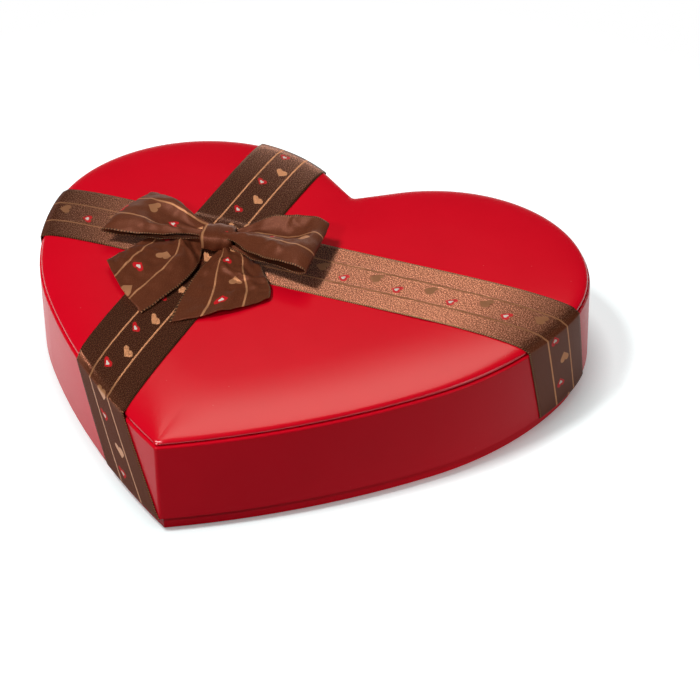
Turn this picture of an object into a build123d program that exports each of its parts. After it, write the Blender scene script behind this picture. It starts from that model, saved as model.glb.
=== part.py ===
from build123d import *

import os
from math import atan2, cos, degrees, radians, sin, sqrt, tan

os.makedirs("parts", exist_ok=True)

# Heart-shaped gift box of wrapped board: a shallow base, a telescoping lift-off lid with a
# padded top, two ribbon straps glued round the lid and a ribbon bow where the straps cross.
# Lengths are millimetres and angles are degrees. The origin is under the middle of the
# outline, +Z is up and the tip of the heart points to -Y.

# Heart outline of the lid's outer face, right half
lobe_radius = 70.2
lobe_spread = 58.3
notch_slope = 36.4
notch_round = 4.0
shoulder_radius = 148.0
shoulder_start = 10.6
flank_radius = 382.0
flank_start = 41.1
tip_round = 2.0
tip_crease = 0.6

# Boards, papers and the glue between them
paper = 0.25
film = 0.05
floor_board = 2.0
base_board = 1.6
lid_board = 1.5
top_board = 1.8
sheet_margin = 2.5
turn_in = 12.0
base_edge_round = 0.7
lid_edge_round = 1.0
inner_edge_share = 0.4

# Heights
base_height = 41.8
seat_gap = 0.1
lid_reveal = 7.4
rim_recess = 1.2
lining_drop = 4.0

# Ribbon and its run round the lid
ribbon_width = 38.0
ribbon = 0.4
ribbon_gap = 0.2
tab_height = 10.0
lid_fit = 0.5
across_y = 23.5
lengthwise_x = -40.5
across_lean = 12.0
near_lean = -29.0
far_lean = -12.5

# Pad on the lid: height over the rim, and how far its rounding spreads inwards
pad_crown = 5.0
pad_spread = 36.0
pad_set_in = 2.7
pad_pinch = 0.8
pad_board = 1.2
pad_cover = 0.4
pad_turn_under = 10.0
pad_bulge_share = 0.36
pad_fullness_share = 0.8
crown_steps = 6

# Cushion sheet that lies loose in the base
cushion_thickness = 5.0
cushion_gap = 1.5
cushion_pinch = 1.2
cushion_spread = 12.0
cushion_bulge_share = 0.42

# Bow
bow_x = -38.5
bow_y = 23.0
knot_width = 13.0
knot_length = 20.0
knot_height = 9.0
knot_band = 1.0
knot_round = 3.6
knot_pinch_share = 0.86
glue_height = 0.7
glue_radius = 4.0
right_loop_length = 50.0
right_loop_height = 14.0
left_loop_length = 47.5
left_loop_height = 10.5
tail_root_y = 7.0
left_tail_x = -6.5
left_tail_length = 45.0
left_tail_heading = 203.5
left_tail_cut = 18.0
right_tail_x = 3.5
right_tail_length = 45.0
right_tail_heading = 152.5
right_tail_cut = -20.0
tail_lift = 3.2

# Each loop leaves the knot, turns back in a round fold and rises to a crest on its way home:
# places along it as shares of its length and height
loop_root_share = 0.03
fold_radius_share = 0.2
fold_start_rise_share = 0.36
fold_start_slope = 12.0
fold_turn = 150.0
crest_share = 0.6
loop_seat = 1.0
loop_stack = 1.6
run_cuts = 6
fold_cuts = 6
gather_share = 0.28
full_width_share = 0.62
bow_arch = 2.0

# Along each tail, from under the knot to the cut end: run, lift, width and arch
tail_shares = (
    (0.0, 0.0, 0.17, 0.012),
    (0.22, 0.35, 0.48, 0.05),
    (0.50, 1.0, 0.82, 0.06),
    (0.80, 0.75, 1.0, 0.03),
    (1.35, 0.55, 1.0, 0.012),
)

# Centres of the outline's arcs, before and after the heart is set about the origin


def polar(radius, angle):
    return Vector(radius * cos(radians(angle)), radius * sin(radians(angle)))


def tip_middle(flank, inset, radius):
    reach = flank_radius - inset - radius
    return flank.Y - sqrt(reach**2 - flank.X**2)


lobe_start = Vector(lobe_spread, 0)
shoulder_shift = polar(lobe_radius - shoulder_radius, -shoulder_start)
flank_shift = polar(shoulder_radius - flank_radius, -flank_start)
tip_start = tip_middle(lobe_start + shoulder_shift + flank_shift, 0, tip_round) - tip_round
lobe_centre = lobe_start - Vector(0, (lobe_radius + tip_start) / 2)
shoulder_centre = lobe_centre + shoulder_shift
flank_centre = shoulder_centre + flank_shift
notch_reach = lobe_radius + notch_round + lobe_centre.dot(polar(1, 90 + notch_slope))
notch_centre = notch_reach / cos(radians(notch_slope))

# Places that follow from the sizes above, as insets from the lid's outer face and heights
lid_board_face = paper + film
lid_board_back = lid_board_face + lid_board
lid_skin_back = lid_board_back + film + paper
tab_face = lid_skin_back + film
tab_back = tab_face + ribbon
base_face = tab_back + lid_fit
base_board_face = base_face + paper + film
base_board_back = base_board_face + base_board
base_skin_back = base_board_back + film + paper
lining_face = base_skin_back + film
lining_back = lining_face + paper
fold_under_z = paper + film
floor_z = fold_under_z + paper + film
floor_top = floor_z + floor_board
floor_lining_z = floor_top + film
floor_lining_top = floor_lining_z + paper
ceiling_z = base_height + seat_gap
top_board_z = ceiling_z + paper + film
top_board_top = top_board_z + top_board
rim_z = top_board_top + rim_recess
rim_start = rim_z - lid_edge_round
pad_z = top_board_top + film
pad_height = rim_z + pad_crown - pad_z
pad_top = pad_z + pad_height
strap_outside = ribbon_gap + ribbon
crossing_top = pad_top + ribbon_gap + ribbon + film + ribbon
box_reach = lobe_spread + lobe_radius + flank_radius


def heart(inset):
    """The heart on the XY plane, set in from the lid's outer face."""
    tip_radius = max(tip_round - inset, tip_crease)
    tip_centre = tip_middle(flank_centre, inset, tip_radius)
    tip_angle = degrees(atan2(tip_centre - flank_centre.Y, -flank_centre.X))
    notch_radius = notch_round + inset
    notch_tangent = Vector(0, notch_centre) + polar(notch_radius, notch_slope - 90)
    with BuildSketch() as face:
        with BuildLine():
            lobe = CenterArc(
                lobe_centre, lobe_radius - inset, 90 + notch_slope, -90 - notch_slope - shoulder_start
            )
            Line(notch_tangent, lobe @ 0)
            CenterArc(
                shoulder_centre, shoulder_radius - inset, -shoulder_start, shoulder_start - flank_start
            )
            CenterArc(flank_centre, flank_radius - inset, -flank_start, tip_angle + flank_start)
            mirror(about=Plane.YZ)
            CenterArc((0, notch_centre), notch_radius, -90 - notch_slope, 2 * notch_slope)
            CenterArc((0, tip_centre), tip_radius, tip_angle, -180 - 2 * tip_angle)
        make_face()
    return face.sketch


def heart_ring(face_inset, back_inset):
    """A band of even thickness that follows the outline."""
    with BuildSketch() as band:
        add(heart(face_inset))
        add(heart(back_inset), mode=Mode.SUBTRACT)
    return band.sketch


def rounded_wall(face_inset, back_inset, bottom, top, edge_round):
    """A wall round the heart whose top edge is rounded outside and eased inside."""
    with BuildPart() as wall:
        with BuildSketch(Plane.XY.offset(bottom)):
            add(heart_ring(face_inset, back_inset))
        extrude(amount=top - bottom)
        rim = wall.faces().sort_by(Axis.Z)[-1]
        fillet(rim.outer_wire().edges(), radius=edge_round)
        rim = wall.faces().sort_by(Axis.Z)[-1]
        fillet(rim.inner_wires()[0].edges(), radius=inner_edge_share * edge_round)
    return wall.part


def sheet(inset, bottom, thickness):
    """A flat heart of board or paper."""
    with BuildPart() as layer:
        with BuildSketch(Plane.XY.offset(bottom)):
            add(heart(inset))
        extrude(amount=thickness)
    return layer.part


def heart_loft(stations):
    """A form through hearts, each given by its inset and height."""
    with BuildPart() as form:
        for inset, height in stations:
            with BuildSketch(Plane.XY.offset(height)):
                add(heart(inset))
        loft(ruled=True)
    return form.part


def crown_stations(edge, spread, bottom, rise):
    """Insets and heights of a cushion's crown, from its fullest edge up to its flat middle."""
    stations = []
    for step in range(1, crown_steps + 1):
        turn = radians(90 * step / crown_steps)
        stations.append((edge + spread * (1 - cos(turn)), bottom + rise * sin(turn) ** pad_fullness_share))
    return stations


def finish(piece, name):
    piece.part.label = name
    export_step(piece.part, f"parts/{name}.step")


# Base: board floor and wall, wrapped in red paper, lined in white

with BuildPart() as base_bottom_sheet:
    add(sheet(base_face + sheet_margin, 0, paper))
finish(base_bottom_sheet, "base_bottom_sheet")

with BuildPart() as base_floor:
    add(sheet(base_board_back + film, floor_z, floor_board))
finish(base_floor, "base_floor")

with BuildPart() as base_wall:
    add(
        rounded_wall(
            base_board_face, base_board_back, floor_z, base_height - paper - film, base_edge_round - paper
        )
    )
finish(base_wall, "base_wall")

with BuildPart() as base_wrap:
    add(rounded_wall(base_face, base_skin_back, fold_under_z, base_height, base_edge_round))
    add(
        rounded_wall(
            base_face + paper,
            base_board_back + film,
            fold_under_z + paper,
            base_height - paper,
            base_edge_round - paper,
        ),
        mode=Mode.SUBTRACT,
    )
    with BuildSketch(Plane.XY.offset(fold_under_z)):
        add(heart_ring(base_board_back + film, base_skin_back))
    extrude(amount=base_height - turn_in - fold_under_z, mode=Mode.SUBTRACT)
    with BuildSketch(Plane.XY.offset(fold_under_z)):
        add(heart_ring(base_face + paper, base_face + turn_in))
    extrude(amount=paper)
finish(base_wrap, "base_wrap")

with BuildPart() as base_floor_lining:
    add(sheet(lining_face, floor_lining_z, paper))
finish(base_floor_lining, "base_floor_lining")

with BuildPart() as base_wall_lining:
    with BuildSketch(Plane.XY.offset(floor_lining_top + film)):
        add(heart_ring(lining_face, lining_back))
    extrude(amount=base_height - lining_drop - floor_lining_top - film)
finish(base_wall_lining, "base_wall_lining")

# Cushion sheet: crowned top and drawn-in sides, loose on the floor lining
cushion_z = floor_lining_top + film
cushion_edge = lining_back + cushion_gap
cushion_bulge = cushion_bulge_share * cushion_thickness
cushion_foot = [(cushion_edge + cushion_pinch, cushion_z), (cushion_edge, cushion_z + cushion_bulge)]
cushion_crown = crown_stations(
    cushion_edge, cushion_spread, cushion_z + cushion_bulge, cushion_thickness - cushion_bulge
)
with BuildPart() as cushion_pad:
    add(heart_loft(cushion_foot + cushion_crown))
finish(cushion_pad, "cushion_pad")

# Lid: board wall and top, wrapped in red paper, lined on its underside

with BuildPart() as lid_ceiling_lining:
    add(sheet(lid_skin_back + film, ceiling_z, paper))
finish(lid_ceiling_lining, "lid_ceiling_lining")

with BuildPart() as lid_top_board:
    add(sheet(lid_board_back + film, top_board_z, top_board))
finish(lid_top_board, "lid_top_board")

with BuildPart() as lid_wall:
    add(
        rounded_wall(
            lid_board_face, lid_board_back, lid_reveal + paper + film, rim_z - paper - film,
            lid_edge_round - paper,
        )
    )
finish(lid_wall, "lid_wall")

with BuildPart() as lid_wrap:
    add(rounded_wall(0, lid_skin_back, lid_reveal, rim_z, lid_edge_round))
    add(
        rounded_wall(
            paper, lid_board_back + film, lid_reveal + paper, rim_z - paper, lid_edge_round - paper
        ),
        mode=Mode.SUBTRACT,
    )
    with BuildSketch(Plane.XY.offset(lid_reveal + turn_in)):
        add(heart_ring(lid_board_back, lid_skin_back))
    extrude(amount=pad_z - lid_reveal - turn_in, mode=Mode.SUBTRACT)
finish(lid_wrap, "lid_wrap")

# Pad on the lid: board, foam and a cover drawn round both and tucked under
pad_bulge = pad_bulge_share * pad_height
pad_foot = [(pad_set_in + pad_pinch, pad_z), (pad_set_in, pad_z + pad_bulge)]
pad_crown_stations = crown_stations(pad_set_in, pad_spread, pad_z + pad_bulge, pad_height - pad_bulge)
pad_stations = pad_foot + pad_crown_stations
foam_z = pad_z + pad_cover + film + pad_board


def pad_inside(lining):
    """The pad's form, smaller by one thickness all over but standing on the same floor."""
    squeeze = (pad_height - 2 * lining) / pad_height
    return heart_loft(
        [(inset + lining, pad_z + lining + (height - pad_z) * squeeze) for inset, height in pad_stations]
    )


with BuildPart() as pad_cover_skin:
    add(heart_loft(pad_stations))
    add(pad_inside(pad_cover), mode=Mode.SUBTRACT)
    add(sheet(pad_set_in + pad_turn_under, pad_z, pad_cover), mode=Mode.SUBTRACT)
finish(pad_cover_skin, "pad_cover")

with BuildPart() as pad_backing:
    add(sheet(pad_set_in + pad_pinch + pad_cover + film, pad_z + pad_cover + film, pad_board))
finish(pad_backing, "pad_board")

with BuildPart() as pad_foam:
    add(pad_inside(pad_cover + film))
    split(bisect_by=Plane.XY.offset(foam_z + film), keep=Keep.TOP)
finish(pad_foam, "pad_foam")


# Straps: each follows the pad, bends over the lid's rim, runs down the wall with the lean that
# a flat ribbon takes there, folds under the lid's lower edge and ends in a tab glued inside


def strap_form(lift):
    """The lid and pad swollen by lift, as a taut ribbon bridges from the rim to the pad."""
    bend = lid_edge_round + lift
    bend_inset = lid_edge_round - bend * cos(radians(45))
    bend_z = rim_start + bend * sin(radians(45))
    crown = [(inset, height + lift) for inset, height in pad_crown_stations]
    with BuildPart() as form:
        with BuildSketch(Plane.XY.offset(lid_reveal)):
            add(heart(-lift))
        extrude(amount=rim_start - lid_reveal)
        with BuildSketch(Plane.XY.offset(rim_start)):
            add(heart(-lift))
        with BuildSketch(Plane.XY.offset(bend_z)):
            add(heart(bend_inset))
        with BuildSketch(Plane.XY.offset(crown[0][1])):
            add(heart(crown[0][0]))
        loft(ruled=True)
        add(heart_loft(crown))
    return form.part


def strap_drop(side_plane, centre, lean, reach):
    """One end of a strap, from the rim down the wall, under the lid's edge and up inside."""
    fold_z = lid_reveal - strap_outside
    shift = (rim_start - fold_z) * tan(radians(lean))
    half = ribbon_width / 2
    with BuildPart() as drop:
        with BuildSketch(Plane.XY.offset(fold_z)):
            add(heart_ring(-strap_outside, -ribbon_gap))
        extrude(amount=rim_start - fold_z)
        with BuildSketch(Plane.XY.offset(fold_z)):
            add(heart_ring(-strap_outside, tab_back))
        extrude(amount=ribbon)
        with BuildSketch(Plane.XY.offset(fold_z)):
            add(heart_ring(tab_face, tab_back))
        extrude(amount=tab_height)
        with BuildSketch(side_plane):
            with BuildLine():
                Polyline(
                    (centre - half, rim_start),
                    (centre + half, rim_start),
                    (centre + half + shift, fold_z),
                    (centre - half + shift, fold_z),
                    close=True,
                )
            make_face()
        extrude(amount=reach, mode=Mode.INTERSECT)
    return drop.part


with BuildPart() as ribbon_across:
    add(strap_form(strap_outside))
    add(strap_form(ribbon_gap), mode=Mode.SUBTRACT)
    with BuildSketch(Plane.XY.offset(rim_start)):
        with Locations((0, across_y)):
            Rectangle(box_reach, ribbon_width)
    extrude(amount=pad_top, mode=Mode.INTERSECT)
    add(strap_drop(Plane.YZ, across_y, across_lean, box_reach))
    add(strap_drop(Plane.YZ, across_y, across_lean, -box_reach))
finish(ribbon_across, "ribbon_across")


def crossing_step(lift, margin):
    """The lengthwise strap's rise over the strap that it crosses."""
    with BuildPart() as step:
        add(strap_form(lift + ribbon + film))
        with BuildSketch(Plane.XY.offset(rim_z)):
            with Locations((lengthwise_x, across_y)):
                Rectangle(2 * ribbon_width, ribbon_width + 2 * margin)
        extrude(amount=pad_top, mode=Mode.INTERSECT)
    return step.part


with BuildPart() as ribbon_lengthwise:
    add(strap_form(strap_outside))
    add(crossing_step(strap_outside, film + ribbon))
    add(strap_form(ribbon_gap), mode=Mode.SUBTRACT)
    add(crossing_step(ribbon_gap, film), mode=Mode.SUBTRACT)
    with BuildSketch(Plane.XY.offset(rim_start)):
        with Locations((lengthwise_x, 0)):
            Rectangle(ribbon_width, box_reach)
    extrude(amount=pad_top, mode=Mode.INTERSECT)
    add(strap_drop(Plane.XZ, lengthwise_x, -near_lean, box_reach))
    add(strap_drop(Plane.XZ, lengthwise_x, far_lean, -box_reach))
finish(ribbon_lengthwise, "ribbon_lengthwise")

# Bow: two loops and two tails gathered under a knot band, on a spot of glue
knot_z = crossing_top + film + glue_height


def ribbon_section(plane, width, arch):
    """One cut across the ribbon, arched across its width."""
    half = width / 2
    with BuildSketch(plane) as cut:
        with BuildLine():
            ThreePointArc((-half, 0), (0, arch), (half, 0))
            Line((half, 0), (half, ribbon))
            ThreePointArc((half, ribbon), (0, arch + ribbon), (-half, ribbon))
            Line((-half, ribbon), (-half, 0))
        make_face()
    return cut.sketch


def bow_loop(side, length, height):
    """A loop from the knot out to its fold and back, to +X for side 1 and to -X for side -1.

    Its line is drawn flat, with X outwards and Y up, and its cuts are then stood along it."""
    low = knot_z + knot_band + loop_seat
    start = Vector(loop_root_share * length, low)
    fold_start = Vector(length - fold_radius_share * height, low + fold_start_rise_share * height)
    crest = Vector(crest_share * length, low + height)
    with BuildLine():
        out = Spline(start, fold_start, tangents=[polar(1, 0), polar(1, fold_start_slope)])
        fold = JernArc(out @ 1, out % 1, fold_radius_share * height, fold_turn)
        home = start + Vector(0, loop_stack)
        back = Spline(fold @ 1, crest, home, tangents=[fold % 1, polar(1, 180)])
    places = [(out, step / run_cuts) for step in range(run_cuts)]
    places += [(fold, step / fold_cuts) for step in range(fold_cuts)]
    places += [(back, step / run_cuts) for step in range(run_cuts + 1)]
    cuts = []
    for line, share in places:
        spot = line @ share
        along = line % share
        free = max(spot.X - knot_width / 2, 0) / length
        spread = sin(radians(90) * min(free / full_width_share, 1))
        width = ribbon_width * (gather_share + (1 - gather_share) * spread)
        arch = bow_arch * along.X * (1 - free)
        plane = Plane(
            origin=(bow_x + side * spot.X, bow_y, spot.Y),
            x_dir=(0, side, 0),
            z_dir=(side * along.X, 0, along.Y),
        )
        cuts.append(ribbon_section(plane, width, arch))
    with BuildPart() as loop:
        loft(cuts, ruled=True)
    return loop.part


def bow_tail(root_x, length, heading, cut_angle):
    """A tail from under the knot along a heading clockwise from +Y, its end cut on a slant."""
    along = Vector(sin(radians(heading)), cos(radians(heading)), 0)
    sideways = Vector(-along.Y, along.X, 0)
    root = Vector(bow_x + root_x, bow_y - tail_root_y, crossing_top + film)
    cuts = []
    for run, lift, width, arch in tail_shares:
        place = root + along * (run * length) + Vector(0, 0, lift * tail_lift)
        plane = Plane(origin=place, x_dir=sideways, z_dir=along)
        cuts.append(ribbon_section(plane, width * ribbon_width, arch * ribbon_width))
    end = Plane(origin=root + along * length, z_dir=along.rotate(Axis.Z, -cut_angle))
    with BuildPart() as tail:
        loft(cuts)
        split(bisect_by=end, keep=Keep.BOTTOM)
    return tail.part


with BuildPart() as bow_glue:
    with BuildSketch(Plane.XY.offset(crossing_top + film)):
        with Locations((bow_x, bow_y)):
            Circle(glue_radius)
    extrude(amount=glue_height - film)
finish(bow_glue, "bow_glue")

with BuildPart() as bow_knot:
    knot_middle = knot_z + knot_height / 2
    knot_plane = Plane(origin=(bow_x, bow_y, knot_middle), x_dir=(0, 1, 0), z_dir=(1, 0, 0))
    for place, size in ((-knot_width / 2, knot_pinch_share), (0, 1), (knot_width / 2, knot_pinch_share)):
        with BuildSketch(knot_plane.offset(place)):
            RectangleRounded(size * knot_length, size * knot_height, size * knot_round)
    loft()
    with BuildSketch(knot_plane.offset(-knot_width / 2)):
        RectangleRounded(
            knot_pinch_share * knot_length - 2 * knot_band,
            knot_pinch_share * knot_height - 2 * knot_band,
            knot_pinch_share * knot_round - knot_band,
        )
    extrude(amount=knot_width, mode=Mode.SUBTRACT)
finish(bow_knot, "bow_knot")

with BuildPart() as bow_loop_right:
    add(bow_loop(1, right_loop_length, right_loop_height))
finish(bow_loop_right, "bow_loop_right")

with BuildPart() as bow_loop_left:
    add(bow_loop(-1, left_loop_length, left_loop_height))
finish(bow_loop_left, "bow_loop_left")

with BuildPart() as bow_tail_right:
    add(bow_tail(right_tail_x, right_tail_length, right_tail_heading, right_tail_cut))
finish(bow_tail_right, "bow_tail_right")

with BuildPart() as bow_tail_left:
    add(bow_tail(left_tail_x, left_tail_length, left_tail_heading, left_tail_cut))
finish(bow_tail_left, "bow_tail_left")
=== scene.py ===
import math

import bpy
import numpy as np
from mathutils import Matrix, Vector


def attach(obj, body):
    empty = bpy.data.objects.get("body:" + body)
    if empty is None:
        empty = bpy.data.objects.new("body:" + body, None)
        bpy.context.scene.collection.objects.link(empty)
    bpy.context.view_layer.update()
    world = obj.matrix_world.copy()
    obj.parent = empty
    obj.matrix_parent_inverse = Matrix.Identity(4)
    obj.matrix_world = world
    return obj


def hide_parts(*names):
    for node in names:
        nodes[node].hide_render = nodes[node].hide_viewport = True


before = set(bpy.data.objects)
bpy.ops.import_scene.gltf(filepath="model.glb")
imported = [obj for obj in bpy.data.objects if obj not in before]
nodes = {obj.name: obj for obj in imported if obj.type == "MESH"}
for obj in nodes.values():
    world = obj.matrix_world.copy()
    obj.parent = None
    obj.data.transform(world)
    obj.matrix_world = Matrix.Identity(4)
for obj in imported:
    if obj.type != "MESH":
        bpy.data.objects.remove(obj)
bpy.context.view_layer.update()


# Boards of the box: the floor and wall of the base, the wall and top of the lid and the stiff
# card in the pad. They are grey recycled board, die-cut and bent to the heart, and all of
# them are covered with paper, so only a fibrous grey shows if a wrap is lifted.
BOARD_LIGHT = (0.30, 0.27, 0.235, 1)
BOARD_DARK = (0.20, 0.18, 0.155, 1)


def put(tree, kind, sockets=None, **settings):
    """One shader node with its settings, its sockets given as values or as links."""
    made = tree.nodes.new(kind)
    for key, value in settings.items():
        setattr(made, key, value)
    for key, value in (sockets or {}).items():
        if isinstance(value, bpy.types.NodeSocket):
            tree.links.new(value, made.inputs[key])
        else:
            made.inputs[key].default_value = value
    return made


def reckon(tree, operation, *values):
    """One step of arithmetic in a shader."""
    sockets = dict(enumerate(values))
    return put(tree, "ShaderNodeMath", sockets, operation=operation).outputs[0]


def blend_colours(tree, share, first, second):
    """Two colours mixed by a share from 0 to 1."""
    sockets = {0: share, 6: first, 7: second}
    return put(tree, "ShaderNodeMix", sockets, data_type="RGBA").outputs[2]


def new_group(name, takes, gives):
    """An empty shader group with its named sockets, and its two end nodes."""
    tree = bpy.data.node_groups.new(name, "ShaderNodeTree")
    for title, kind in takes:
        tree.interface.new_socket(title, in_out="INPUT", socket_type=kind)
    for title in gives:
        tree.interface.new_socket(title, in_out="OUTPUT", socket_type="NodeSocketFloat")
    start = tree.nodes.new("NodeGroupInput")
    end = tree.nodes.new("NodeGroupOutput")
    return tree, start.outputs, end.inputs


def new_finish(name):
    """A material and the Principled shader that it starts with."""
    made = bpy.data.materials.new(name)
    made.use_nodes = True
    return made, made.node_tree, made.node_tree.nodes["Principled BSDF"]


def roughen(tree, shader, height, strength, depth):
    """Bumps a finish by a height, its depth given in metres."""
    bump = put(tree, "ShaderNodeBump", {"Strength": strength, "Distance": depth, "Height": height})
    tree.links.new(bump.outputs[0], shader.inputs["Normal"])


def dress(node, finish):
    """Gives a CAD node its finished material."""
    nodes[node].data.materials.clear()
    nodes[node].data.materials.append(finish)


# Group: the fibres, clouds and stray flecks that paper and board share
CLOUD_SCALE = 45.0
FLECK_SCALE = 150.0
FLECK_RADIUS = 0.035
FLECK_SKIPPED = 0.72
tree, takes, gives = new_group(
    "paper_fibres",
    (("Vector", "NodeSocketVector"), ("Fibre Scale", "NodeSocketFloat")),
    ("Cloud", "Fibre", "Fleck"),
)
fibre_group = tree
cloud = put(
    tree,
    "ShaderNodeTexNoise",
    {"Vector": takes["Vector"], "Scale": CLOUD_SCALE, "Detail": 4.0},
)
fibre = put(
    tree,
    "ShaderNodeTexNoise",
    {"Vector": takes["Vector"], "Scale": takes["Fibre Scale"], "Detail": 3.0, "Roughness": 0.65},
)
cells = put(tree, "ShaderNodeTexVoronoi", {"Vector": takes["Vector"], "Scale": FLECK_SCALE})
picked = put(tree, "ShaderNodeSeparateColor", {"Color": cells.outputs["Color"]})
near = reckon(tree, "LESS_THAN", cells.outputs["Distance"], FLECK_RADIUS)
some = reckon(tree, "GREATER_THAN", picked.outputs[0], FLECK_SKIPPED)
tree.links.new(cloud.outputs[0], gives["Cloud"])
tree.links.new(fibre.outputs[0], gives["Fibre"])
tree.links.new(reckon(tree, "MULTIPLY", near, some), gives["Fleck"])


def fibres_of(tree, scale):
    """The shared paper group placed in a material, on the piece's own coordinates."""
    place = put(tree, "ShaderNodeTexCoord")
    sockets = {"Vector": place.outputs["Object"], "Fibre Scale": scale}
    return put(tree, "ShaderNodeGroup", sockets, node_tree=fibre_group).outputs


greyboard, tree, shader = new_finish("greyboard")
fibres = fibres_of(tree, scale=900.0)
shade = blend_colours(tree, fibres["Fibre"], BOARD_DARK, BOARD_LIGHT)
tree.links.new(shade, shader.inputs["Base Color"])
shader.inputs["Roughness"].default_value = 0.9
roughen(tree, shader, fibres["Fibre"], strength=0.4, depth=0.0002)
for board in ("base_floor", "base_wall", "lid_wall", "lid_top_board", "pad_board"):
    dress(board, greyboard)


# Linings of the base and the lid, and the sheet under the base: plain white uncoated paper,
# cut to the heart and pasted on after the wraps, with a soft tooth and hardly any gloss.
LINING_WHITE = (0.80, 0.785, 0.755, 1)
LINING_SHADE = (0.73, 0.715, 0.68, 1)

white_paper, tree, shader = new_finish("white_paper")
fibres = fibres_of(tree, scale=1500.0)
shade = blend_colours(tree, fibres["Cloud"], LINING_SHADE, LINING_WHITE)
tree.links.new(shade, shader.inputs["Base Color"])
shader.inputs["Roughness"].default_value = 0.82
roughen(tree, shader, fibres["Fibre"], strength=0.22, depth=0.00012)
for lining in ("base_bottom_sheet", "base_floor_lining", "base_wall_lining", "lid_ceiling_lining"):
    dress(lining, white_paper)


# Wraps of the base and the lid: red printed paper with a soft-touch film, pasted round the
# boards and turned in over their edges. It is satin, with a fine tooth and a few pale flecks.
WRAP_RED = (0.735, 0.0020, 0.0165, 1)
WRAP_DEEP = (0.665, 0.0015, 0.0135, 1)
FLECK_PALE = (0.80, 0.20, 0.18, 1)
FLECK_SHOWS = 0.45
UNEVEN_GLOSS = 0.12


def red_finish(name, roughness, tooth_strength, gloss):
    """Soft-touch red paper, for the wraps and for the pad's cover."""
    made, tree, shader = new_finish(name)
    fibres = fibres_of(tree, scale=1700.0)
    body = blend_colours(tree, fibres["Cloud"], WRAP_DEEP, WRAP_RED)
    faint = reckon(tree, "MULTIPLY", fibres["Fleck"], FLECK_SHOWS)
    tree.links.new(blend_colours(tree, faint, body, FLECK_PALE), shader.inputs["Base Color"])
    lowest = roughness - UNEVEN_GLOSS / 2
    uneven = reckon(tree, "MULTIPLY_ADD", fibres["Fibre"], UNEVEN_GLOSS, lowest)
    tree.links.new(uneven, shader.inputs["Roughness"])
    shader.inputs["Specular IOR Level"].default_value = gloss
    roughen(tree, shader, fibres["Fibre"], strength=tooth_strength, depth=0.0001)
    return made


red_paper = red_finish("red_paper", roughness=0.32, tooth_strength=0.10, gloss=0.10)
for wrap in ("base_wrap", "lid_wrap"):
    dress(wrap, red_paper)


# Cushion sheet: a loose heart of white crepe over thin wadding, quilted in diamonds, that
# lies on the floor lining and keeps what is packed in the box from rattling.
LOBE_RADIUS = 70.2
LOBE_SPREAD = 58.3
NOTCH_SLOPE = 36.4
NOTCH_ROUND = 4.0
SHOULDER_RADIUS = 148.0
SHOULDER_START = 10.6
FLANK_RADIUS = 382.0
FLANK_START = 41.1
TIP_ROUND = 2.0
TIP_CREASE = 0.6
# Points along each stretch of the half heart, from its tip to its notch
TIP_POINTS = 6
FLANK_POINTS = 61
SHOULDER_POINTS = 33
LOBE_POINTS = 85
NOTCH_POINTS = 7
MM = 0.001
CUSHION_EDGE = 7.05
CUSHION_LOW = 2.95
CUSHION_HIGH = 7.95
CUSHION_SPREAD = 12.0
CUSHION_WAIST = 0.42
CUSHION_FULLNESS = 0.8
# How far the sheet's foot is set in from its edge, and at what height over its underside
CUSHION_FOOT = ((1.2, 0.0), (0.3, 1.0))
CUSHION_VOXEL = 0.0022
QUILT_STEP = 21.0
QUILT_DEPTH = 1.5
QUILT_WIDTH = 3.2
QUILT_DEEPEST = 1.25
CREPE_WHITE = (0.84, 0.825, 0.79, 1)
CREPE_SHADE = (0.70, 0.68, 0.64, 1)


def polar(radius, degrees):
    """Points at a radius from the origin, turned from X."""
    turn = np.radians(degrees)
    return np.stack((radius * np.cos(turn), radius * np.sin(turn)), axis=-1)


def arc(middle, radius, start, end, count):
    """Points along an arc round a middle."""
    return middle + polar(radius, np.linspace(start, end, count))


def tip_middle(flank, inset, radius):
    """Y of the middle of the round that joins the two flanks at the tip."""
    return flank[1] - math.sqrt((FLANK_RADIUS - inset - radius) ** 2 - flank[0] ** 2)


lobe_middle = np.array((LOBE_SPREAD, 0.0))
shoulder_shift = polar(LOBE_RADIUS - SHOULDER_RADIUS, -SHOULDER_START)
flank_shift = polar(SHOULDER_RADIUS - FLANK_RADIUS, -FLANK_START)
lowest = tip_middle(lobe_middle + shoulder_shift + flank_shift, 0, TIP_ROUND) - TIP_ROUND
lobe_middle = lobe_middle - np.array((0.0, (LOBE_RADIUS + lowest) / 2))
shoulder_middle = lobe_middle + shoulder_shift
flank_middle = shoulder_middle + flank_shift
lobe_end = 90 + NOTCH_SLOPE
notch_reach = LOBE_RADIUS + NOTCH_ROUND + lobe_middle @ polar(1, lobe_end)
notch_height = notch_reach / math.cos(math.radians(NOTCH_SLOPE))


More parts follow.
